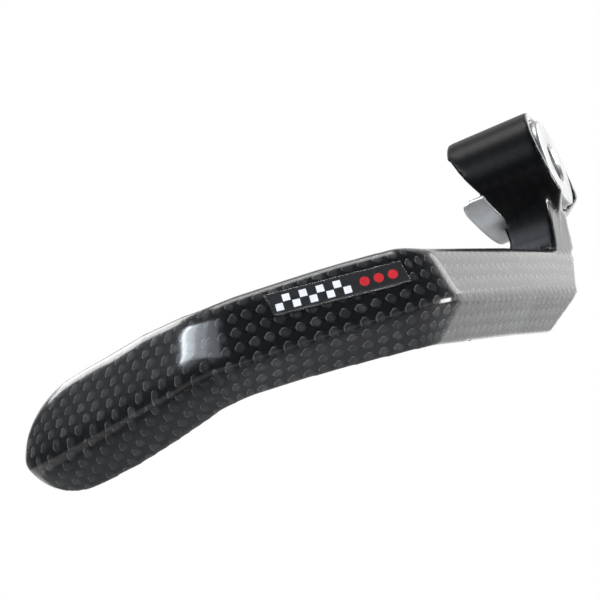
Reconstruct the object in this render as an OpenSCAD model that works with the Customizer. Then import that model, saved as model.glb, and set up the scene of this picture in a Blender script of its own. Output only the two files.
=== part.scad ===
// Brake lever guard: a moulded carbon blade on a bored boss with an aluminium bush.
// X runs outboard along the bore, Y runs rearward and Z runs up, in millimetres.
// The origin is the centre of the bore at the outboard face of the bush.

/* [Bush] */
// Diameter of the through bore, a clearance hole for an M8 bolt
bore_d = 8.5; // [6:0.1:12]
// Diameter of the bush body inside the boss
bush_d = 21.4; // [18:0.2:22]
// Length of the bush body
bush_len = 13; // [8:0.1:16]
// Diameter of the seat that stands out of the boss
flange_d = 20.4; // [16:0.2:21]
// How far that seat stands out
flange_t = 1.8; // [0.6:0.1:3]

/* [Boss and riser] */
// Outside diameter of the boss
boss_d = 25.8; // [24:0.2:30]
// Length of the boss inboard of the bush face
boss_len = 21; // [19:0.1:24]
// Setback of the top of the boss's outboard end from the bush face
face_top = 1.7; // [0.4:0.1:3]
// Reach of the bottom of that end past the bush face
face_foot = 0.6; // [0:0.1:2]
// Turn of the bore from square to the arm, seen from above
bore_toe = 9; // [0:1:15]
// Rise of the bore's outboard end
bore_tilt = 5; // [0:1:8]
// Depth of the notch in the front of the boss
notch_len = 5.6; // [2:0.2:6]
// Height above the bore axis at which the notch starts
notch_top = 7.4; // [4:0.2:9]
// Drop below the bore axis at which the notch ends
notch_foot = 3.1; // [1:0.1:5]
// Width of the riser halfway down
riser_w = 11.3; // [8:0.1:13]
// Depth of the riser from its front to its heel, where it meets the arm
riser_depth = 13.1; // [11:0.1:16]
// Drop from the bore axis to the top edge of the arm
riser_drop = 20.9; // [18:0.1:26]
// Distance of the riser's foot forward of the bore axis
riser_reach = 13.4; // [12:0.1:16]
// Distance of the rear end of the arm's ridge forward of the bore axis
ridge_reach = 16; // [14:0.1:20]

/* [Blade path] */
// Distance of the ridge outboard of the bush face
ridge_out = 2.8; // [1:0.2:5]
// Length of the arm's ridge to the knee corner
arm_len = 69.3; // [50:0.1:80]
// Turn at the knee
knee_angle = 55; // [40:1:65]
// Ridge radius of the knee
knee_r = 13; // [12:0.5:16]
// Length of the middle from corner to corner
mid_len = 45; // [38:1:60]
// Turn at the second bend
bend_angle = 42; // [20:1:50]
// Ridge radius of the second bend
bend_r = 20; // [14:0.5:26]
// Length of the tip from the second corner to its end
tip_len = 53.3; // [36:0.1:60]
// Droop of the ridge at the end of the tip
droop = 11.5; // [0:0.5:14]

/* [Blade section] */
// Height of the top edge above the ridge at the arm
arm_up = 10.5; // [8:0.25:14]
// Height of the top edge above the ridge at the middle
mid_up = 11; // [8:0.1:14]
// Height of the top edge above the ridge at the tip
tip_up = 12.3; // [9:0.1:15]
// Rounding of the ridge along the arm and the middle
ridge_round = 1.6; // [0.8:0.1:3]
// Rounding of the ridge along the tip
tip_ridge_round = 9; // [2:0.5:12]
// Lean of the top edge behind the ridge
top_lean = 3.6; // [2:0.2:6]
// Extra lean of the tip
tip_lean = 1.8; // [0:0.2:4]
// How much later the top edge bends than the ridge
bend_late = 1.5; // [0:0.1:3]
// Depth of the bottom edge below the ridge at the arm
arm_down = 7.2; // [4:0.1:9]
// Depth of the bottom edge below the ridge at the second bend
mid_down = 5.3; // [4:0.1:8]
// Depth of the bottom edge below the ridge at the tip
tip_down = 7.8; // [5:0.1:10]
// Undercut of the bottom edge behind the ridge
under_lean = 7.8; // [5:0.2:9]
// Thickness of the blade from its ridge to its back
blade_t = 10.5; // [9.5:0.25:12]
// Height of the rounded top band along the arm
arm_band = 0.9; // [0.5:0.1:3]
// Height of that band along the middle and the tip
tip_band = 2.4; // [1:0.1:3]
// Length of the rounded end of the tip
tip_round = 16; // [8:0.5:18]
// How much further the tip's top edge reaches than its ridge
tip_slant = 0.8; // [0:0.1:4]

/* [Label] */
// Length of the label
label_len = 26.4; // [16:0.1:28]
// Height of the label
label_h = 4.6; // [3:0.2:6]
// Distance from the knee corner to the label
label_from_knee = 4.9; // [4.5:0.1:12]
// Distance up the facet from the ridge to the label
label_up = 6.2; // [3:0.1:7]
// Turn of the label on the facet
label_turn = -3.4; // [-6:0.2:3]
// Thickness of the printed vinyl
vinyl_t = 0.2; // [0.1:0.05:0.4]
// Thickness of the ink
ink_t = 0.05; // [0.03:0.01:0.1]
// Thickness of the clear dome
dome_t = 0.6; // [0.3:0.05:1]

/* [Hidden] */

$fn = 96;
eps = 0.01;
corner_steps = 4;
lip_in = 0.4;
lip_back = 0.15;
boss_r = boss_d / 2;
boss_out = -flange_t;
boss_in = -boss_len;
ridge_z = -riser_drop - arm_up;
foot_y = -riser_reach;
heel_y = foot_y + riser_depth;
overrun = heel_y + ridge_reach;

// Straight stretches left between the bends
knee_cut = knee_r * tan(knee_angle / 2);
bend_cut = bend_r * tan(bend_angle / 2);
arm_run = arm_len - knee_cut + overrun;
knee_run = knee_r * knee_angle * PI / 180;
mid_run = mid_len - knee_cut - bend_cut;
bend_run = bend_r * bend_angle * PI / 180;
tip_run = tip_len - bend_cut;
s_knee = arm_run;
s_mid = s_knee + knee_run;
s_bend = s_mid + mid_run;
s_tip = s_bend + bend_run;
s_end = s_tip + tip_run;

// Plan view of the ridge: a place is [x, y, heading], and heading 0 runs forward
function ahead(p, d) = [p[0] - d * sin(p[2]), p[1] - d * cos(p[2]), p[2]];
function turned(p, r, a) = [
    p[0] - r * (cos(p[2]) - cos(p[2] + a)),
    p[1] + r * (sin(p[2]) - sin(p[2] + a)),
    p[2] + a
];
function degrees(length, r) = length / r * 180 / PI;
start = [ridge_out, heel_y, 0];
at_knee = ahead(start, arm_run);
at_mid = turned(at_knee, knee_r, knee_angle);
at_bend = ahead(at_mid, mid_run);
at_tip = turned(at_bend, bend_r, bend_angle);
function plan(s) =
    s <= s_knee ? ahead(start, s) :
    s <= s_mid ? turned(at_knee, knee_r, degrees(s - s_knee, knee_r)) :
    s <= s_bend ? ahead(at_mid, s - s_mid) :
    s <= s_tip ? turned(at_bend, bend_r, degrees(s - s_bend, bend_r)) :
    ahead(at_tip, s - s_tip);

// The ridge sinks ever faster with its distance from the riser
sink_power = 2.4;
function sink(s) = droop * pow(max(0, s - overrun) / (s_end - overrun), sink_power);

// Sizes that change along the blade are eased from one stretch to the next
function eased(s, from, to) = let (k = min(1, max(0, (s - from) / (to - from)))) k * k * (3 - 2 * k);
function up_at(s) =
    arm_up + (mid_up - arm_up) * eased(s, s_knee, s_mid) + (tip_up - mid_up) * eased(s, s_bend + 5, s_tip + 9);
function down_at(s) =
    arm_down + (mid_down - arm_down) * eased(s, s_knee - 6, s_bend)
    + (tip_down - mid_down) * eased(s, s_bend + 8, s_tip + 20);
function band_at(s) = arm_band + (tip_band - arm_band) * eased(s, s_knee - 3, s_mid + 8);

// The section as corners [back, up, radius], where back is measured from the ridge
function corners(s) =
    let (
        up = up_at(s),
        lean = top_lean + tip_lean * eased(s, s_bend, s_tip)
            - bend_late * (eased(s, s_bend - 2, s_tip) - eased(s, s_tip, s_tip + 24)),
        down = down_at(s),
        band = band_at(s)
    ) [
        [0, 0, ridge_round + (tip_ridge_round - ridge_round) * eased(s, s_bend - 2, s_tip + 6)],
        [lean, up, 1.5],
        [lean + 2.2, up + band, 1.4],
        [lean + 4.6, up + band * 0.6, 1.6],
        [blade_t, up * 0.3, 8],
        [blade_t + 0.2, -down * 0.45, 2],
        [under_lean, -down, 1.2]
    ];

// A corner rounded by its radius, as a short run of points on a quadratic curve
function rounded(c) = [
    for (i = [0 : len(c) - 1])
        let (
            q = c[i],
            a = c[(i + len(c) - 1) % len(c)],
            b = c[(i + 1) % len(c)],
            to_a = [a[0] - q[0], a[1] - q[1]],
            to_b = [b[0] - q[0], b[1] - q[1]],
            ra = min(q[2], norm(to_a) * 0.45) / norm(to_a),
            rb = min(q[2], norm(to_b) * 0.45) / norm(to_b),
            pa = [q[0], q[1]] + to_a * ra,
            pb = [q[0], q[1]] + to_b * rb
        )
        for (k = [0 : corner_steps])
            let (t = k / corner_steps)
            pow(1 - t, 2) * pa + 2 * t * (1 - t) * [q[0], q[1]] + t * t * pb
];

// Rounded end of the tip: the section shrinks about its middle
function shrink(s) = let (q = max(0, s - (s_end - tip_round)) / tip_round) sqrt(max(0.0004, 1 - q * q));
function placed(s, q) =
    let (
        k = shrink(s),
        mid_back = blade_t * 0.55,
        mid_height = (up_at(s) + band_at(s) - down_at(s)) / 2,
        back = mid_back + (q[0] - mid_back) * k,
        up = mid_height + (q[1] - mid_height) * k,
        p = plan(s + tip_slant * eased(s, s_end - tip_round * 1.5, s_end) * up / up_at(s))
    )
    [p[0] - back * cos(p[2]), p[1] + back * sin(p[2]), ridge_z - sink(s) + up];

stations = concat(
    [0, s_knee / 2],
    [for (i = [0 : 10]) s_knee + knee_run * i / 10],
    [for (i = [1 : 2]) s_mid + mid_run * i / 3],
    [for (i = [0 : 9]) s_bend + bend_run * i / 9],
    [for (i = [1 : 3]) s_tip + (tip_run - tip_round) * i / 3],
    [for (a = [12 : 12 : 84]) s_end - tip_round * (1 - sin(a))],
    [s_end - tip_round * 0.0008]
);

module sweep(places) {
    rings = [for (s = places) [for (q = rounded(corners(s))) placed(s, q)]];
    n = len(rings[0]);
    m = len(rings);
    function at(i, j) = i * n + j % n;
    polyhedron(
        points = [for (r = rings) each r],
        faces = concat(
            [[for (j = [0 : n - 1]) j]],
            [for (i = [0 : m - 2], j = [0 : n - 1]) each [
                [at(i, j), at(i + 1, j), at(i, j + 1)],
                [at(i, j + 1), at(i + 1, j), at(i + 1, j + 1)]
            ]],
            [[for (j = [n - 1 : -1 : 0]) at(m - 1, j)]]
        )
    );
}

// Side outline of the riser and heel, drawn in Y and Z and run along X
module side_prism(points) {
    rotate([90, 0, 90])
        translate([0, 0, -40])
            linear_extrude(60)
                polygon(points);
}

// Front outline, drawn in X and Z and run along Y
module front_prism(points) {
    rotate([90, 0, 0])
        translate([0, 0, -20])
            linear_extrude(40)
                polygon(points);
}

// The blade and the riser are drawn square to the arm, then turned to the bore
module hung() {
    rotate([0, bore_tilt, 0])
        rotate([0, 0, -bore_toe])
            children();
}

// Front view of the boss, whose ends both lean
boss_front = [
    [boss_in, boss_r + 1],
    [boss_in, -boss_r * 0.45],
    [boss_in + 2.4, -boss_r - 0.1],
    [face_foot - 4, -boss_r - 0.1],
    [face_foot, -boss_r * 0.62],
    [-face_top, boss_r],
    [-face_top, boss_r + 1]
];

// Front view of the notch: a slanting upper edge and a lip below it
notch_end = [boss_in + notch_len, -notch_foot - 1];
notch_start = [boss_in + 0.5, notch_top];
notch_front = concat(
    [[boss_in - 1, notch_top + 1.5]],
    [for (i = [0 : 8]) notch_start + (notch_end - notch_start) * i / 8 - [0.35 * sin(22.5 * i), 0]],
    [notch_end - [0, 1], [boss_in - 1, -notch_foot - 2]]
);

// Front view of the lip of the bush, which shows below the notch
lip_front = [
    [boss_in, -boss_r * 0.45],
    [boss_in, -notch_foot - 1.2],
    [boss_in + 0.4, -notch_foot - 0.4],
    [boss_in + 1.4, -notch_foot],
    [boss_in + notch_len, -notch_foot - 1],
    [boss_in + notch_len + 3.2, -boss_r - 2],
    [boss_in + 2.4, -boss_r - 2]
];
module bush_lip(outer_r) {
    intersection() {
        rotate([0, 90, 0])
            translate([0, 0, boss_in])
                difference() {
                    cylinder(r = outer_r, h = notch_len + 3.4);
                    translate([0, 0, -1])
                        cylinder(r = bush_d / 2 - lip_in, h = notch_len + 6);
                }
        front_prism(lip_front);
    }
}

// Front view of the riser, which narrows down to the arm
riser_out = ridge_out - top_lean;
riser_top = [riser_out - riser_w - 2.8, -boss_r * 0.34];
riser_low = [riser_out - riser_w + 0.6, -riser_drop + 4.6];
riser_front = concat(
    [[riser_out, -boss_r * 0.34]],
    [for (i = [0 : 8]) riser_top + (riser_low - riser_top) * i / 8 + [0.5 * sin(22.5 * i), 0]],
    [riser_low + [-0.6, -1.4], riser_low + [-2.2, -2.7], riser_low + [-3.4, -3.5], riser_low + [-3.4, -5.2]],
    [[riser_out - 6.6, -riser_drop - 4], [riser_out, -riser_drop - 4]]
);

// Side view of the riser, whose front runs in a hollow curve from the arm to the boss
riser_tangent = [-boss_r * 0.89, -boss_r * 0.45];
riser_foot = [foot_y, -riser_drop];
riser_side = concat(
    [[heel_y, -boss_r * 0.3], riser_tangent],
    [for (i = [0 : 10]) riser_tangent + (riser_foot - riser_tangent) * i / 10 + [1.5 * sin(18 * i), 0]],
    [[foot_y, -riser_drop - 4], [heel_y, -riser_drop - 4]]
);

// What the sloping heel takes off the riser and the end of the arm
heel_off = [
    [heel_y + 3, -riser_drop + 4.6],
    [heel_y - 0.2, -riser_drop + 4.4],
    [heel_y - 0.7, -riser_drop + 0.8],
    [-ridge_reach + 2, ridge_z + 2],
    [-ridge_reach - 1, ridge_z - 0.8],
    [-ridge_reach - 4.4, ridge_z - arm_down],
    [-ridge_reach - 4.4, ridge_z - arm_down - 3],
    [heel_y + 3, ridge_z - arm_down - 3]
];

module guard_shell() {
    color("#1b1c1e")
        difference() {
            union() {
                hung()
                    difference() {
                        union() {
                            sweep(stations);
                            intersection() {
                                front_prism(riser_front);
                                side_prism(riser_side);
                            }
                        }
                        side_prism(heel_off);
                    }
                difference() {
                    intersection() {
                        rotate([0, 90, 0])
                            translate([0, 0, boss_in])
                                cylinder(r = boss_r, h = boss_len + face_foot);
                        front_prism(boss_front);
                    }
                    translate([0, -20, 0])
                        front_prism(notch_front);
                }
            }
            rotate([0, 90, 0])
                translate([0, 0, boss_in - 1])
                    cylinder(r = bush_d / 2, h = boss_len + face_foot + 2);
            bush_lip(boss_r + 1);
        }
}

module mount_bush() {
    color("#c9cbce") {
        rotate([0, 90, 0])
            difference() {
                union() {
                    translate([0, 0, boss_out - bush_len])
                        cylinder(r = bush_d / 2, h = bush_len);
                    translate([0, 0, boss_out - eps])
                        cylinder(r = flange_d / 2, h = flange_t + eps);
                }
                translate([0, 0, boss_out - bush_len - 1])
                    cylinder(r = bore_d / 2, h = bush_len + flange_t + 2);
            }
        bush_lip(boss_r - lip_back);
    }
}

// Puts what is drawn in X and Y onto the upper facet of the middle, with its back on the facet
module on_facet() {
    along = label_from_knee + label_len / 2 - knee_cut;
    s = s_mid + along;
    place = plan(s);
    pitch = atan((sink(s + 1) - sink(s - 1)) / 2);
    hung()
        translate([place[0], place[1], ridge_z - sink(s)])
            rotate([0, 0, 90 - place[2]])
                rotate([0, -pitch, 0])
                    rotate([90 - atan(top_lean / mid_up), 0, 0])
                        translate([0, label_up + label_h / 2, 0])
                            rotate([0, 0, label_turn])
                                translate([-label_len / 2, -label_h / 2, 0])
                                    children();
}

// A slanted strip with the label's ends, from one share of its length to another
slant = 0.2;
module strip(from, to, low, high) {
    polygon([
        [from * label_len + slant * label_h * (1 - low), low * label_h],
        [to * label_len - slant * label_h * low, low * label_h],
        [to * label_len - slant * label_h * high, high * label_h],
        [from * label_len + slant * label_h * (1 - high), high * label_h]
    ]);
}

module label_vinyl() {
    color("#0c0c0d")
        on_facet()
            linear_extrude(vinyl_t)
                strip(0, 1, 0, 1);
}

// Two rows of chequers, then a row of plain dots, spread over the label's length
ink_start = 1.6;
ink_run = label_len - 2 * ink_start;
chequers = 9;
chequer_step = ink_run * 0.61 / chequers;
chequer_h = label_h * 0.3;
module label_print_white() {
    color("#f2f2f2")
        on_facet()
            translate([0, 0, vinyl_t])
                linear_extrude(ink_t)
                    for (i = [0 : chequers - 1])
                        translate([ink_start + i * chequer_step, label_h * (i % 2 == 0 ? 0.18 : 0.52)])
                            square([chequer_step * 0.88, chequer_h]);
}

dots = 3;
dot_step = ink_run * 0.34 / dots;
module label_print_red() {
    color("#c8161d")
        on_facet()
            translate([0, 0, vinyl_t])
                linear_extrude(ink_t)
                    for (i = [0 : dots - 1])
                        translate([label_len - ink_start - (i + 0.5) * dot_step, label_h / 2])
                            circle(d = dot_step * 0.7);
}

module label_dome() {
    rim = 0.35;
    color("#dfe6ee", 0.35)
        on_facet()
            translate([0, 0, vinyl_t + ink_t])
                hull() {
                    linear_extrude(dome_t * 0.4)
                        offset(delta = -0.05)
                            strip(0, 1, 0, 1);
                    linear_extrude(dome_t)
                        offset(delta = -rim - 0.25)
                            strip(0, 1, 0, 1);
                }
}

guard_shell();
mount_bush();
label_vinyl();
label_print_white();
label_print_red();
label_dome();
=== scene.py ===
"""Looks for the brake lever guard: clear-coated plain weave carbon, an aluminium bush and a domed label.

Lengths of the part are in millimetres, and times MM where Blender takes metres. Lamps, floor and backdrop
are in metres.
"""

import math

import bmesh
import bpy
import numpy as np
from mathutils import Matrix, Vector


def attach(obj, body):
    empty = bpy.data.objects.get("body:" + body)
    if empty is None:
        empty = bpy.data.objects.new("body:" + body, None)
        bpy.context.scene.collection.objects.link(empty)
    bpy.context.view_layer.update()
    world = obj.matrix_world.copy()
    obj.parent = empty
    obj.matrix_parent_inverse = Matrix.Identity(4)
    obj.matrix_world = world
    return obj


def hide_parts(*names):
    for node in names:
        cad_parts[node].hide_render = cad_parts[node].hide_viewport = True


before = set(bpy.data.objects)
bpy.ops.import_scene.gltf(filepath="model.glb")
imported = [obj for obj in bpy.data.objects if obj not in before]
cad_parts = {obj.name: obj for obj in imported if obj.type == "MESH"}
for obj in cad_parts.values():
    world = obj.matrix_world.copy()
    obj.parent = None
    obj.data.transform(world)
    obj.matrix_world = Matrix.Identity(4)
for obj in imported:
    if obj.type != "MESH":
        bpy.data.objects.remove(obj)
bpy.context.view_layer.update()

MM = 0.001

# Bore, boss and bush, as in the part
BORE_R = 4.25
BUSH_R = 10.7
FLANGE_R = 10.2
FLANGE_T = 1.8
BUSH_LEN = 13.0
BOSS_R = 12.9
BOSS_LEN = 21.0
NOTCH_LEN = 5.6
NOTCH_FOOT = 3.1
LIP_IN = 0.4
LIP_BACK = 0.15
RISER_DROP = 20.9
RISER_REACH = 13.4
RISER_DEPTH = 13.1
RIDGE_REACH = 16.0
BORE_TOE = math.radians(9)
BORE_TILT = math.radians(5)

# The blade's path and section, as in the part
RIDGE_OUT = 2.8
ARM_LEN = 69.3
KNEE_ANGLE = math.radians(55)
KNEE_R = 13.0
MID_LEN = 45.0
BEND_ANGLE = math.radians(42)
BEND_R = 20.0
TIP_LEN = 53.3
DROOP = 11.5
SINK_POWER = 2.4
ARM_UP = 10.5
MID_UP = 11.0
TOP_LEAN = 3.6
RIDGE_Z = -RISER_DROP - ARM_UP
HEEL_Y = -RISER_REACH + RISER_DEPTH
OVERRUN = HEEL_Y + RIDGE_REACH
KNEE_CUT = KNEE_R * math.tan(KNEE_ANGLE / 2)
BEND_CUT = BEND_R * math.tan(BEND_ANGLE / 2)

# From the blade, drawn square to its arm, to the bore
HUNG = Matrix.Rotation(BORE_TILT, 4, "Y") @ Matrix.Rotation(-BORE_TOE, 4, "Z")

# The label, as in the part
LABEL_LEN = 26.4
LABEL_H = 4.6
LABEL_FROM_KNEE = 4.9
LABEL_UP = 6.2
LABEL_TURN = math.radians(-3.4)
LABEL_SLANT = 0.2
VINYL_T = 0.2
INK_T = 0.05
DOME_T = 0.6

# One tow of the cloth, and how the cloth lies on the tip, on the rest of the blade and on the boss
TOW = 2.0
CLOTH_TURN = math.radians(45)
TIP_TURN = math.radians(30)

# Camera, from the photograph's perspective, in the blade's square frame
CAMERA_AT = Vector((121.7, -364.0, -66.1)) * MM
CAMERA_AZIMUTH = 27.99
CAMERA_ELEVATION = -7.57
CAMERA_ROLL = 14.5
FOCAL_PIXELS = 1707
PHOTO_PIXELS = 600


def blade_path(step=0.25):
    """Places along the ridge seen from above: distance, x, y and heading, each an array."""
    runs = [
        (ARM_LEN - KNEE_CUT + OVERRUN, 0),
        (KNEE_R * KNEE_ANGLE, 1 / KNEE_R),
        (MID_LEN - KNEE_CUT - BEND_CUT, 0),
        (BEND_R * BEND_ANGLE, 1 / BEND_R),
        (TIP_LEN - BEND_CUT, 0),
    ]
    x, y, heading, travelled = RIDGE_OUT, HEEL_Y, 0.0, 0.0
    rows = []
    for length, curl in runs:
        count = max(2, int(length / step))
        for _ in range(count):
            rows.append((travelled, x, y, heading))
            small = length / count
            middle = heading + curl * small / 2
            x -= math.sin(middle) * small
            y -= math.cos(middle) * small
            heading += curl * small
            travelled += small
    rows.append((travelled, x, y, heading))
    return np.array(rows).T


def path_marks():
    """Distances at which the straight middle starts and ends, the tip starts, and the blade ends."""
    mid_start = ARM_LEN - KNEE_CUT + OVERRUN + KNEE_R * KNEE_ANGLE
    mid_end = mid_start + MID_LEN - KNEE_CUT - BEND_CUT
    tip_start = mid_end + BEND_R * BEND_ANGLE
    return mid_start, mid_end, tip_start, tip_start + TIP_LEN - BEND_CUT


def sink(s):
    """How far the ridge has sunk at distance s."""
    end = path_marks()[3]
    return DROOP * (np.maximum(0, s - OVERRUN) / (end - OVERRUN)) ** SINK_POWER


def on_blade(points):
    """Distance along the ridge, distance behind it and height above it, of points in mm."""
    s, x, y, heading = blade_path()
    best = np.empty(len(points), int)
    batch = 4000
    for low in range(0, len(points), batch):
        part = points[low : low + batch]
        gap = (part[:, 0:1] - x) ** 2 + (part[:, 1:2] - y) ** 2
        best[low : low + batch] = gap.argmin(1)
    away_x, away_y = points[:, 0] - x[best], points[:, 1] - y[best]
    along = -away_x * np.sin(heading[best]) - away_y * np.cos(heading[best])
    back = -away_x * np.cos(heading[best]) + away_y * np.sin(heading[best])
    place = s[best] + along
    return place, back, points[:, 2] - RIDGE_Z + sink(place)


# Materials


class Nodes:
    """Short calls for building a node tree."""

    def __init__(self, name):
        self.material = bpy.data.materials.new(name)
        self.material.use_nodes = True
        self.tree = self.material.node_tree
        self.shader = self.tree.nodes["Principled BSDF"]

    def add(self, kind, **settings):
        node = self.tree.nodes.new(kind)
        for key, value in settings.items():
            setattr(node, key, value)
        return node

    def link(self, source, target):
        self.tree.links.new(source, target)

    def math(self, operation, a, b=None):
        node = self.add("ShaderNodeMath", operation=operation)
        for socket, value in zip(node.inputs, (a, b)):
            if value is None:
                continue
            if isinstance(value, (int, float)):
                socket.default_value = value
            else:
                self.link(value, socket)
        return node.outputs[0]

    def mix(self, factor, a, b):
        """A number between a and b."""
        node = self.add("ShaderNodeMix", data_type="FLOAT")
        for socket, value in zip((node.inputs[0], node.inputs[2], node.inputs[3]), (factor, a, b)):
            if isinstance(value, (int, float)):
                socket.default_value = value
            else:
                self.link(value, socket)
        return node.outputs[0]

    def ramp(self, factor, stops):
        node = self.add("ShaderNodeValToRGB")
        ramp = node.color_ramp
        while len(ramp.elements) < len(stops):
            ramp.elements.new(0.5)
        for element, (place, colour) in zip(ramp.elements, stops):
            element.position = place
            element.color = (*colour, 1)
        self.link(factor, node.inputs[0])
        return node.outputs[0]

    def noise(self, vector, scale, detail=2.0):
        node = self.add("ShaderNodeTexNoise")
        node.inputs["Scale"].default_value = scale
        node.inputs["Detail"].default_value = detail
        self.link(vector, node.inputs["Vector"])
        return node.outputs[0]

    def bump(self, height, strength, distance):
        node = self.add("ShaderNodeBump")
        node.inputs["Strength"].default_value = strength
        node.inputs["Distance"].default_value = distance
        self.link(height, node.inputs["Height"])
        return node.outputs[0]


def carbon_material():
    """Plain weave carbon under a clear coat. The UV map counts tows, so one unit is one tow."""
    n = Nodes("clear_coated_carbon")
    even = n.add("ShaderNodeUVMap", uv_map="cloth").outputs[0]
    waves = n.add("ShaderNodeTexNoise")
    waves.inputs["Scale"].default_value = 0.45
    waves.inputs["Detail"].default_value = 1.0
    n.link(even, waves.inputs["Vector"])
    shift = n.add("ShaderNodeVectorMath", operation="MULTIPLY_ADD")
    n.link(waves.outputs["Color"], shift.inputs[0])
    shift.inputs[1].default_value = (0.5, 0.5, 0)
    n.link(even, shift.inputs[2])
    uv = shift.outputs[0]
    split = n.add("ShaderNodeSeparateXYZ")
    n.link(uv, split.inputs[0])
    on_boss = n.add("ShaderNodeAttribute", attribute_name="boss").outputs["Fac"]
    a, b = split.outputs[0], split.outputs[1]
    parity = n.math("MODULO", n.math("ADD", n.math("FLOOR", a), n.math("FLOOR", b)), 2)
    warp_up = n.math("GREATER_THAN", n.math("ABSOLUTE", parity), 0.5)
    across_a = n.math("MULTIPLY", n.math("SUBTRACT", n.math("FRACT", a), 0.5), 2)
    across_b = n.math("MULTIPLY", n.math("SUBTRACT", n.math("FRACT", b), 0.5), 2)
    across = n.mix(warp_up, across_b, across_a)
    along = n.mix(warp_up, across_a, across_b)
    # a tow is a flat oval across and arches along its float
    side = n.math("POWER", n.math("ABSOLUTE", across), 2.4)
    run = n.math("POWER", n.math("ABSOLUTE", along), 2.0)
    round_side = n.math("SQRT", n.math("SUBTRACT", 1.03, side))
    arch = n.math("SUBTRACT", 1.0, n.math("MULTIPLY", 0.55, run))
    height = n.math("MULTIPLY", round_side, arch)
    # fine fibres run along each tow
    fibres_across, fibres_along = 12, 0.8
    fibre_a = n.add("ShaderNodeCombineXYZ")
    n.link(n.math("MULTIPLY", a, fibres_across), fibre_a.inputs[0])
    n.link(n.math("MULTIPLY", b, fibres_along), fibre_a.inputs[1])
    fibre_b = n.add("ShaderNodeCombineXYZ")
    n.link(n.math("MULTIPLY", a, fibres_along), fibre_b.inputs[0])
    n.link(n.math("MULTIPLY", b, fibres_across), fibre_b.inputs[1])
    fibres = n.mix(warp_up, n.noise(fibre_b.outputs[0], 1.0), n.noise(fibre_a.outputs[0], 1.0))
    # the crown of a float is an oval with a painted sheen; the weft's crowns get 0.14 of the warp's painted
    # sheen
    oval = n.math("SUBTRACT", 1.0, n.math("ADD", n.math("MULTIPLY", side, 1.5), n.math("MULTIPLY", run, 1.0)))
    crown = n.add("ShaderNodeMapRange", interpolation_type="SMOOTHSTEP")
    n.link(oval, crown.inputs["Value"])
    crown.inputs["From Min"].default_value = -0.75
    crown.inputs["From Max"].default_value = 0.9
    # and a thin painted highlight, a crescent, lies at one end of each oval
    off_rim = n.math("ABSOLUTE", n.math("ADD", oval, 0.05))
    band = n.math("MAXIMUM", n.math("SUBTRACT", 1.0, n.math("MULTIPLY", off_rim, 1.9)), 0.0)
    one_end = n.math("MAXIMUM", n.math("MULTIPLY", along, 1.5), 0.0)
    crescent_highlight = n.math("MULTIPLY", band, one_end)
    painted_sheen = n.math("ADD", n.math("MULTIPLY", crown.outputs[0], 0.55), n.math("MULTIPLY", crescent_highlight, 0.9))
    painted_sheen = n.math("MULTIPLY", painted_sheen, n.mix(warp_up, 0.14, 1.0))
    # the painted sheen varies from stretch to stretch of the cloth, and on the boss it is dimmed to a tenth
    uneven = n.noise(uv, 0.35)
    painted_sheen = n.math("MULTIPLY", painted_sheen, n.math("ADD", 0.35, n.math("MULTIPLY", uneven, 1.3)))
    shade = n.math("MULTIPLY", painted_sheen, n.math("ADD", 0.75, n.math("MULTIPLY", fibres, 0.5)))
    shade = n.math("MULTIPLY", shade, n.mix(on_boss, 1.0, 0.1))
    # the brighter stops of the ramp give the crowns their painted sheen
    between_tows, on_tow, crown_sheen_colour = (0.0015, 0.0015, 0.002), (0.022, 0.0225, 0.024), (0.11, 0.11, 0.112)
    colour = n.ramp(shade, [(0.0, between_tows), (0.5, on_tow), (1.0, crown_sheen_colour)])
    n.link(colour, n.shader.inputs["Base Color"])
    n.shader.inputs["Roughness"].default_value = 0.42
    n.link(n.mix(on_boss, 1.16, 1.12), n.shader.inputs["IOR"])
    n.link(n.mix(on_boss, 1.0, 0.25), n.shader.inputs["Coat Weight"])
    n.link(n.mix(on_boss, 0.14, 0.3), n.shader.inputs["Coat Roughness"])
    n.shader.inputs["Coat IOR"].default_value = 1.4
    bumps = n.math("ADD", height, n.math("MULTIPLY", fibres, 0.06))
    bumps = n.math("MULTIPLY", bumps, n.mix(on_boss, 1.0, 0.15))
    bumps = n.math("MULTIPLY", bumps, n.mix(warp_up, 0.7, 1.0))
    n.link(n.bump(bumps, 0.35, 0.2 * MM), n.shader.inputs["Normal"])
    # the coat keeps a slow ripple and a faint trace of the cloth
    place = n.add("ShaderNodeTexCoord").outputs["Object"]
    coat_height = n.math("ADD", n.math("MULTIPLY", height, 0.05), n.noise(place, 110.0, 1.0))
    n.link(n.bump(coat_height, 0.25, 0.12 * MM), n.shader.inputs["Coat Normal"])
    return n.material


def aluminium_material():
    """Turned aluminium with fine grooves round its axis."""
    n = Nodes("turned_aluminium")
    place = n.add("ShaderNodeTexCoord").outputs["Object"]
    split = n.add("ShaderNodeSeparateXYZ")
    n.link(place, split.inputs[0])
    y_squared, z_squared = (n.math("POWER", split.outputs[axis], 2) for axis in (1, 2))
    radius = n.math("SQRT", n.math("ADD", y_squared, z_squared))
    groove = n.add("ShaderNodeCombineXYZ")
    n.link(radius, groove.inputs[0])
    n.link(split.outputs[0], groove.inputs[1])
    lines = n.noise(groove.outputs[0], 5200.0)
    stain = n.noise(place, 260.0, 3.0)
    dull, bright = (0.54, 0.545, 0.55), (0.66, 0.665, 0.67)
    n.link(n.ramp(stain, [(0.3, dull), (0.7, bright)]), n.shader.inputs["Base Color"])
    n.link(n.mix(lines, 0.28, 0.46), n.shader.inputs["Roughness"])
    n.shader.inputs["Metallic"].default_value = 1.0
    n.shader.inputs["Specular Tint"].default_value = (0.6, 0.6, 0.6, 1)
    n.link(n.bump(lines, 0.25, 0.02 * MM), n.shader.inputs["Normal"])
    return n.material


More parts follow.
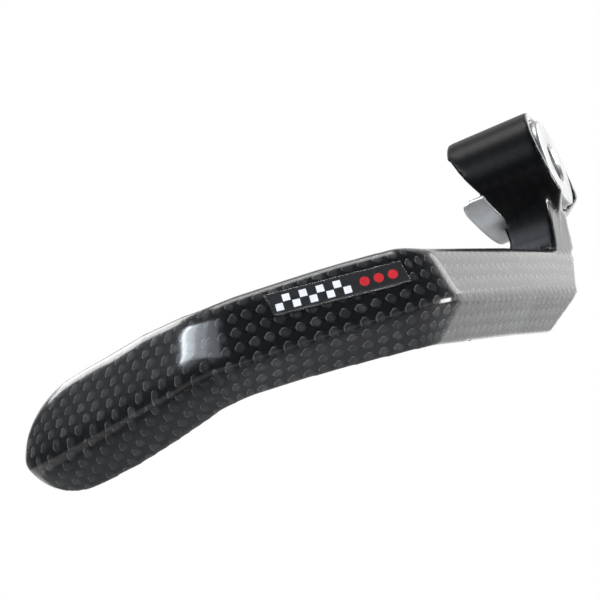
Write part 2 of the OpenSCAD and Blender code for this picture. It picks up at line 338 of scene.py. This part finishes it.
def ink_material(name, colour, darker):
    """Ink or vinyl, slightly uneven, with a soft gloss."""
    n = Nodes(name)
    place = n.add("ShaderNodeTexCoord").outputs["Object"]
    uneven = n.noise(place, 900.0)
    n.link(n.ramp(uneven, [(0.3, darker), (0.7, colour)]), n.shader.inputs["Base Color"])
    n.shader.inputs["Roughness"].default_value = 0.3
    return n.material


def resin_material():
    """Clear polyurethane dome."""
    n = Nodes("clear_resin")
    n.shader.inputs["Base Color"].default_value = (0.97, 0.98, 1.0, 1)
    n.shader.inputs["Transmission Weight"].default_value = 1.0
    n.shader.inputs["Roughness"].default_value = 0.01
    n.shader.inputs["IOR"].default_value = 1.46
    # light passes straight through it to the ink
    rays = n.add("ShaderNodeLightPath")
    clear = n.add("ShaderNodeBsdfTransparent")
    mix = n.add("ShaderNodeMixShader")
    n.link(rays.outputs["Is Shadow Ray"], mix.inputs[0])
    n.link(n.shader.outputs[0], mix.inputs[1])
    n.link(clear.outputs[0], mix.inputs[2])
    n.link(mix.outputs[0], n.tree.nodes["Material Output"].inputs["Surface"])
    return n.material


def set_material(piece, material):
    piece.data.materials.clear()
    piece.data.materials.append(material)


def new_object(name, data):
    thing = bpy.data.objects.new(name, data)
    bpy.context.scene.collection.objects.link(thing)
    return thing


def mesh_of(name, bm):
    mesh = bpy.data.meshes.new(name)
    bm.to_mesh(mesh)
    bm.free()
    return mesh


def new_piece(name, bm, material):
    piece = new_object(name, mesh_of(name, bm))
    set_material(piece, material)
    for face in piece.data.polygons:
        face.use_smooth = True
    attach(piece, "root")
    return piece


# Pieces


def section_length(back, up):
    """Distance round the section from the ridge: up the front is positive and under it negative."""
    # the rear face starts this far behind the ridge, above it and under it, and is measured down from its top
    rear_from_over, rear_from_under = TOP_LEAN + 1.5, 8.4
    rear_lean, rear_lean_from = 0.33, 3
    rear_top = 14
    over_top = up + (back - TOP_LEAN) * 0.9
    front = np.hypot(back, up)
    top = np.hypot(TOP_LEAN, ARM_UP)
    over = rear_from_over + rear_lean * np.maximum(0, up - rear_lean_from)
    rear_from = np.where(up > 0, over, rear_from_under)
    behind = back > rear_from
    upper = np.where(behind, top + np.maximum(0, over_top - top) * 0.2 + (rear_top - up), front)
    return np.where(up > 0, upper, np.where(behind, top + rear_top - up, -front))


def turned(uv, by):
    """Cloth coordinates turned by an angle."""
    u, v = uv[:, 0], uv[:, 1]
    return np.stack([u * np.cos(by) - v * np.sin(by), u * np.sin(by) + v * np.cos(by)], 1)


def fade(distance, over):
    """From 0 to 1 over a length."""
    return np.clip(distance / over, 0, 1)


def cloth_map(mesh):
    """Lays the cloth on the shell: along the blade and round it, or round the boss."""
    count = len(mesh.vertices)
    flat = np.empty(count * 3)
    mesh.vertices.foreach_get("co", flat)
    points = flat.reshape(-1, 3) / MM
    to_square = np.array(HUNG.to_3x3())
    square = points @ to_square
    s, back, up = on_blade(square)
    _, mid_end, tip_start, _ = path_marks()
    turn_share = fade(s - mid_end, tip_start - mid_end)
    around = section_length(back, up)
    blade_uv = np.stack([s, around], 1)
    angle = np.arctan2(points[:, 2], -points[:, 1])
    wrap_r = BUSH_R * 1.14
    boss_uv = np.stack([points[:, 0], angle * wrap_r], 1)
    # the cloth swings at the second bend about a point on the upper facet
    pivot = np.array([[(mid_end + tip_start) / 2, 5.0]])
    boss_cloth = turned(boss_uv, CLOTH_TURN) / TOW
    layer = mesh.uv_layers.new(name="cloth")
    loops = np.empty(len(mesh.loops), int)
    mesh.loops.foreach_get("vertex_index", loops)
    totals = np.empty(len(mesh.polygons), int)
    mesh.polygons.foreach_get("loop_total", totals)
    face_of_loop = np.repeat(np.arange(len(totals)), totals)
    centre_z = np.bincount(face_of_loop, square[loops, 2]) / totals
    centre_y = np.bincount(face_of_loop, square[loops, 1]) / totals
    share = np.bincount(face_of_loop, turn_share[loops]) / totals
    on_boss = (centre_z > -RISER_DROP + 1.2) & (centre_y > -RISER_REACH - 3)
    # the boss's plainer finish, with its painted sheen dimmed, fades out at the arm, at the front and on
    # faces that look outboard
    boss = fade(square[:, 2] + RISER_DROP - 1, 3) * fade(square[:, 1] + RISER_REACH + 4, 2)
    mesh.vertices.foreach_get("normal", flat)
    outboard = (flat.reshape(-1, 3) @ to_square)[:, 0]
    boss *= 1 - fade(outboard - 0.5, 0.3)
    mesh.attributes.new("boss", "FLOAT", "POINT").data.foreach_set("value", boss.astype(np.float32))
    # both sides of the change at the second bend are worked out per face, so no face is smeared
    plain = turned(blade_uv - pivot, CLOTH_TURN) / TOW
    swung = turned(blade_uv - pivot, CLOTH_TURN + TIP_TURN) / TOW
    face_tip = share > 0.5
    uv = np.where(face_tip[face_of_loop, None], swung[loops], plain[loops])
    # every coordinate is kept positive, so that the cloth's squares alternate everywhere
    keep_positive = 400
    uv = np.where(on_boss[face_of_loop, None], boss_cloth[loops], uv) + keep_positive
    layer.data.foreach_set("uv", uv.astype(np.float32).ravel())


def carbon_shell(material):
    """The moulding, with its corners and junctions rounded as they come out of a mould."""
    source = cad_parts["guard_shell"]
    mesh = source.data.copy()
    mesh.name = "carbon_shell"
    piece = new_object("carbon_shell", mesh)
    set_material(piece, material)
    remesh = piece.modifiers.new("even", "REMESH")
    remesh.mode = "VOXEL"
    remesh.voxel_size = 0.42 * MM
    remesh.use_smooth_shade = True
    smooth = piece.modifiers.new("round", "SMOOTH")
    smooth.factor = 0.5
    smooth.iterations = 16
    bpy.context.view_layer.update()
    rounded = piece.evaluated_get(bpy.context.evaluated_depsgraph_get())
    made = bpy.data.meshes.new_from_object(rounded)
    piece.modifiers.clear()
    piece.data = made
    cloth_map(made)
    for face in made.polygons:
        face.use_smooth = True
    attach(piece, "root")
    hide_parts("guard_shell")


def turned_bush(material):
    """The bush as a lathe would leave it, with broken edges."""
    inner_end = -FLANGE_T - BUSH_LEN
    broken, chamfer = 0.35, 0.5
    profile = [
        (inner_end, BORE_R + broken),
        (inner_end, BUSH_R - chamfer),
        (inner_end + chamfer, BUSH_R),
        (-FLANGE_T, BUSH_R),
        (-FLANGE_T, FLANGE_R),
        (-broken * 1.6, FLANGE_R),
        (-broken * 0.4, FLANGE_R - broken * 0.5),
        (0, FLANGE_R - broken * 1.6),
        (0, BORE_R + broken * 1.6),
        (-broken * 1.6, BORE_R),
        (inner_end + broken, BORE_R),
    ]
    bm = bmesh.new()
    sides = 144
    rings = []
    for x, r in profile:
        ring = []
        for i in range(sides):
            t = 2 * math.pi * i / sides
            ring.append(bm.verts.new((x * MM, r * math.cos(t) * MM, r * math.sin(t) * MM)))
        rings.append(ring)
    for k in range(len(rings)):
        low, high = rings[k], rings[(k + 1) % len(rings)]
        for i in range(sides):
            j = (i + 1) % sides
            bm.faces.new((low[i], low[j], high[j], high[i]))
    bmesh.ops.recalc_face_normals(bm, faces=bm.faces)
    piece = new_piece("turned_bush", bm, material)
    mesh = piece.data
    same = 1e-7
    for edge in mesh.edges:
        a, b = (mesh.vertices[v].co for v in edge.vertices)
        edge.use_edge_sharp = abs(a.x - b.x) < same and abs(a.yz.length - b.yz.length) < same
    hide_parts("mount_bush")


def bush_lip(material):
    """The thin lip of the bush below the notch of the boss, with a rounded corner."""
    top = math.acos(NOTCH_FOOT / BOSS_R)
    columns, rows = 48, 12
    # both edges lean outboard toward the bottom, and the inboard one has a round corner at the top
    corner_r, rim, rim_r = 1.6, 0.6, 0.35
    tail_from, tail_rise = 0.45, 2.4
    flare, flare_from = 3.2, NOTCH_FOOT + 1
    bm = bmesh.new()
    layers = []
    for radius in (BUSH_R - LIP_IN, BOSS_R - LIP_BACK):
        grid = []
        for i in range(columns + 1):
            angle = top * (2 * i / columns - 1)
            z = -BOSS_R * math.cos(angle)
            low = -BOSS_LEN + tail_rise * max(0, -z - BOSS_R * tail_from) / (BOSS_R * (1 - tail_from))
            into_corner = max(0, (z + NOTCH_FOOT + corner_r) / corner_r)
            low += corner_r * (1 - math.sqrt(max(0, 1 - into_corner**2)))
            high = -BOSS_LEN + NOTCH_LEN + flare * max(0, -z - flare_from) / (BOSS_R - flare_from)
            column = []
            for j in range(rows + 1):
                x = low + (high - low) * j / rows
                edge = min(x - low, rim) / rim
                r = radius - (rim_r * (1 - math.sqrt(1 - (1 - edge) ** 2)) if radius > BUSH_R else 0)
                column.append(bm.verts.new((x * MM, r * math.sin(-angle) * MM, -r * math.cos(angle) * MM)))
            grid.append(column)
        layers.append(grid)
    inner, outer = layers
    for i in range(columns):
        for j in range(rows):
            bm.faces.new((outer[i][j], outer[i + 1][j], outer[i + 1][j + 1], outer[i][j + 1]))
            bm.faces.new((inner[i][j], inner[i][j + 1], inner[i + 1][j + 1], inner[i + 1][j]))
        bm.faces.new((outer[i][0], inner[i][0], inner[i + 1][0], outer[i + 1][0]))
        bm.faces.new((outer[i][rows], outer[i + 1][rows], inner[i + 1][rows], inner[i][rows]))
    for j in range(rows):
        bm.faces.new((outer[0][j], outer[0][j + 1], inner[0][j + 1], inner[0][j]))
        bm.faces.new((outer[columns][j], inner[columns][j], inner[columns][j + 1], outer[columns][j + 1]))
    bmesh.ops.recalc_face_normals(bm, faces=bm.faces)
    piece = new_piece("bush_lip", bm, material)
    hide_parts("mount_bush")


def facet_matrix():
    """The label's frame on the upper facet, as in the part: x along, y up the facet, z off it."""
    mid_start = path_marks()[0]
    place = mid_start + LABEL_FROM_KNEE + LABEL_LEN / 2 - KNEE_CUT
    s, x, y, heading = blade_path(0.02)
    near = int(np.abs(s - place).argmin())
    slope = math.atan(float(sink(place + 1) - sink(place - 1)) / 2)
    lean = math.pi / 2 - math.atan(TOP_LEAN / MID_UP)
    at = Vector((x[near], y[near], RIDGE_Z - float(sink(place)))) * MM
    return (
        HUNG
        @ Matrix.Translation(at)
        @ Matrix.Rotation(math.pi / 2 - heading[near], 4, "Z")
        @ Matrix.Rotation(-slope, 4, "Y")
        @ Matrix.Rotation(lean, 4, "X")
        @ Matrix.Translation(Vector((0, LABEL_UP + LABEL_H / 2, 0)) * MM)
        @ Matrix.Rotation(LABEL_TURN, 4, "Z")
        @ Matrix.Translation(Vector((-LABEL_LEN / 2, -LABEL_H / 2, 0)) * MM)
    )


def edge_steps(length, rim, count):
    """Places across a length that crowd together within a rim at both ends."""
    steps = 5
    near = [rim * (1 - math.cos(math.pi / 2 * i / steps)) for i in range(steps + 1)]
    inner = [rim + (length - 2 * rim) * i / count for i in range(1, count)]
    return near + inner + [length - x for x in reversed(near)]


def label_dome(material):
    """The clear dome over the label: flat, with a rounded rim and slanted ends."""
    bm = bmesh.new()
    base = VINYL_T + INK_T + 0.01
    rim_w, gap = 0.32, 0.06
    skirt, crown_h, margin = 0.08, 0.1, 0.2
    xs = edge_steps(LABEL_LEN - LABEL_SLANT * LABEL_H - 2 * gap, rim_w, 24)
    ys = edge_steps(LABEL_H - 2 * gap, rim_w, 8)
    across, along = len(ys) - 1, len(xs) - 1
    tops, lows = {}, {}
    for i, run in enumerate(xs):
        for j, side in enumerate(ys):
            x = gap + run + LABEL_SLANT * (LABEL_H - gap - side)
            edge = min(run, xs[-1] - run, side, ys[-1] - side)
            rise = math.sqrt(max(0, 1 - (1 - min(1, edge / rim_w)) ** 2))
            crown = math.sin(math.pi * side / ys[-1])
            z = base + skirt + (DOME_T - margin) * rise + crown_h * crown
            tops[i, j] = bm.verts.new((x * MM, (gap + side) * MM, z * MM))
            if i in (0, along) or j in (0, across):
                lows[i, j] = bm.verts.new((x * MM, (gap + side) * MM, base * MM))
    for i in range(along):
        for j in range(across):
            bm.faces.new((tops[i, j], tops[i + 1, j], tops[i + 1, j + 1], tops[i, j + 1]))
    rim = [(i, 0) for i in range(along)] + [(along, j) for j in range(across)]
    rim += [(i, across) for i in range(along, 0, -1)] + [(0, j) for j in range(across, 0, -1)]
    for k, here in enumerate(rim):
        after = rim[(k + 1) % len(rim)]
        bm.faces.new((lows[here], lows[after], tops[after], tops[here]))
    bm.faces.new([lows[p] for p in reversed(rim)])
    bmesh.ops.transform(bm, matrix=facet_matrix(), verts=bm.verts)
    piece = new_piece("resin_dome", bm, material)
    for face in piece.data.polygons:
        face.use_smooth = len(face.vertices) == 4
    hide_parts("label_dome")


# Stage


def stage_material(name, to_camera, in_reflections):
    """White paper, which glows plain white by one share to the camera and by another in reflections."""
    n = Nodes(name)
    n.shader.inputs["Base Color"].default_value = (0.6, 0.6, 0.6, 1)
    n.shader.inputs["Roughness"].default_value = 0.9
    n.shader.inputs["Specular IOR Level"].default_value = 0.0
    rays = n.add("ShaderNodeLightPath")
    mirrored = n.math("MAXIMUM", rays.outputs["Is Glossy Ray"], rays.outputs["Is Transmission Ray"])
    mirrored = n.math("MULTIPLY", mirrored, in_reflections)
    share = n.math("ADD", n.math("MULTIPLY", rays.outputs["Is Camera Ray"], to_camera), mirrored)
    glow = n.add("ShaderNodeEmission")
    mix = n.add("ShaderNodeMixShader")
    n.link(share, mix.inputs[0])
    n.link(n.shader.outputs[0], mix.inputs[1])
    n.link(glow.outputs[0], mix.inputs[2])
    n.link(mix.outputs[0], n.tree.nodes["Material Output"].inputs["Surface"])
    return n.material


def flat_card(name, size, location, turn, material):
    bm = bmesh.new()
    bmesh.ops.create_grid(bm, x_segments=1, y_segments=1, size=0.5)
    card = new_object(name, mesh_of(name, bm))
    card.scale = (*size, 1)
    card.location = location
    card.rotation_euler = turn
    card.data.materials.append(material)


def make_stage():
    paper = stage_material("floor_paper", 0.55, 0)
    glow = stage_material("backdrop_paper", 1, 1)
    floor_z, below = -0.42, 0.002
    level, upright = (0, 0, 0), (math.pi / 2, 0, 0)
    flat_card("floor", (2.2, 2.2), (0, 0, floor_z), level, paper)
    flat_card("far_floor", (12, 12), (0, 0, floor_z - below), level, glow)
    flat_card("backdrop", (8, 5), (0, 2.6, 2.2), upright, glow)


def softbox(name, aim, direction, distance, size, radiance, colour=(1, 1, 1)):
    """An area lamp of that radiance, which lies from aim in that direction, in the blade's square frame."""
    lamp = bpy.data.lights.new(name, "AREA")
    lamp.shape = "RECTANGLE"
    lamp.size, lamp.size_y = size
    lamp.energy = radiance * math.pi * size[0] * size[1]
    lamp.color = colour
    holder = new_object(name, lamp)
    way = Vector(direction).normalized()
    turn = way.to_track_quat("Z", "Y").to_matrix().to_4x4()
    holder.matrix_world = HUNG @ Matrix.Translation(Vector(aim) * MM + way * distance) @ turn
    holder.visible_camera = False


def make_world():
    """A dim bluish world, which is plain white to the camera."""
    world = bpy.data.worlds.new("studio")
    bpy.context.scene.world = world
    world.use_nodes = True
    tree = world.node_tree
    dim = tree.nodes["Background"]
    dim.inputs["Color"].default_value = (0.9, 0.95, 1.0, 1)
    dim.inputs["Strength"].default_value = 0.18
    rays = tree.nodes.new("ShaderNodeLightPath")
    white = tree.nodes.new("ShaderNodeBackground")
    mix = tree.nodes.new("ShaderNodeMixShader")
    white.inputs["Color"].default_value = (1, 1, 1, 1)
    tree.links.new(rays.outputs["Is Camera Ray"], mix.inputs[0])
    tree.links.new(dim.outputs[0], mix.inputs[1])
    tree.links.new(white.outputs[0], mix.inputs[2])
    tree.links.new(mix.outputs[0], tree.nodes["World Output"].inputs["Surface"])


def make_lights():
    """The key stands in four steps, brighter to one side, for the highlight on the second bend."""
    bend_front, knee_side = (-40, -105, -30), (20, -80, -30)
    bluish = (0.86, 0.93, 1.0)
    softbox("key_wide", bend_front, (-0.30, -0.70, 0.66), 0.7, (0.52, 0.26), 3.5, bluish)
    softbox("key_half", bend_front, (-0.42, -0.64, 0.65), 0.7, (0.34, 0.26), 4, bluish)
    softbox("key_left", bend_front, (-0.52, -0.57, 0.63), 0.7, (0.17, 0.26), 9, bluish)
    softbox("key_edge", bend_front, (-0.59, -0.52, 0.63), 0.7, (0.05, 0.26), 24, bluish)
    softbox("tip_top", (-75, -100, -35), (-0.66, 0.25, 0.70), 0.7, (0.3, 0.3), 6)
    softbox("knee", knee_side, (0.91, 0.34, -0.09), 0.7, (0.3, 0.3), 24)
    softbox("side", knee_side, (0.42, 0.81, 0.40), 0.7, (0.2, 0.25), 3)
    softbox("overhead", (-60, -100, -30), (-0.1, 0.15, 1), 0.8, (0.4, 0.3), 6)
    softbox("rear", (0, -50, -30), (0.15, 0.97, -0.05), 0.8, (0.8, 1.1), 0.8)


def make_camera():
    camera = bpy.data.cameras.new("camera")
    camera.sensor_width = 36
    camera.lens = camera.sensor_width * FOCAL_PIXELS / PHOTO_PIXELS
    camera.clip_start = 0.01
    camera.clip_end = 50
    holder = new_object("camera", camera)
    a, e = math.radians(CAMERA_AZIMUTH), math.radians(CAMERA_ELEVATION)
    look = Vector((-math.sin(a) * math.cos(e), math.cos(a) * math.cos(e), -math.sin(e)))
    level = look.to_track_quat("-Z", "Y").to_matrix().to_4x4()
    roll = Matrix.Rotation(-math.radians(CAMERA_ROLL), 4, "Z")
    holder.matrix_world = HUNG @ Matrix.Translation(CAMERA_AT) @ level @ roll
    bpy.context.scene.camera = holder


def main():
    carbon = carbon_material()
    aluminium = aluminium_material()
    carbon_shell(carbon)
    turned_bush(aluminium)
    bush_lip(aluminium)
    inks = [
        ("label_vinyl", "black_vinyl", (0.01, 0.01, 0.011), (0.006, 0.006, 0.006)),
        ("label_print_white", "white_ink", (0.92, 0.92, 0.93), (0.87, 0.87, 0.89)),
        ("label_print_red", "red_ink", (0.62, 0.012, 0.02), (0.5, 0.01, 0.015)),
    ]
    for node, name, colour, darker in inks:
        set_material(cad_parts[node], ink_material(name, colour, darker))
    label_dome(resin_material())
    make_stage()
    make_world()
    make_lights()
    make_camera()
    bpy.context.scene.view_settings.view_transform = "Standard"


main()
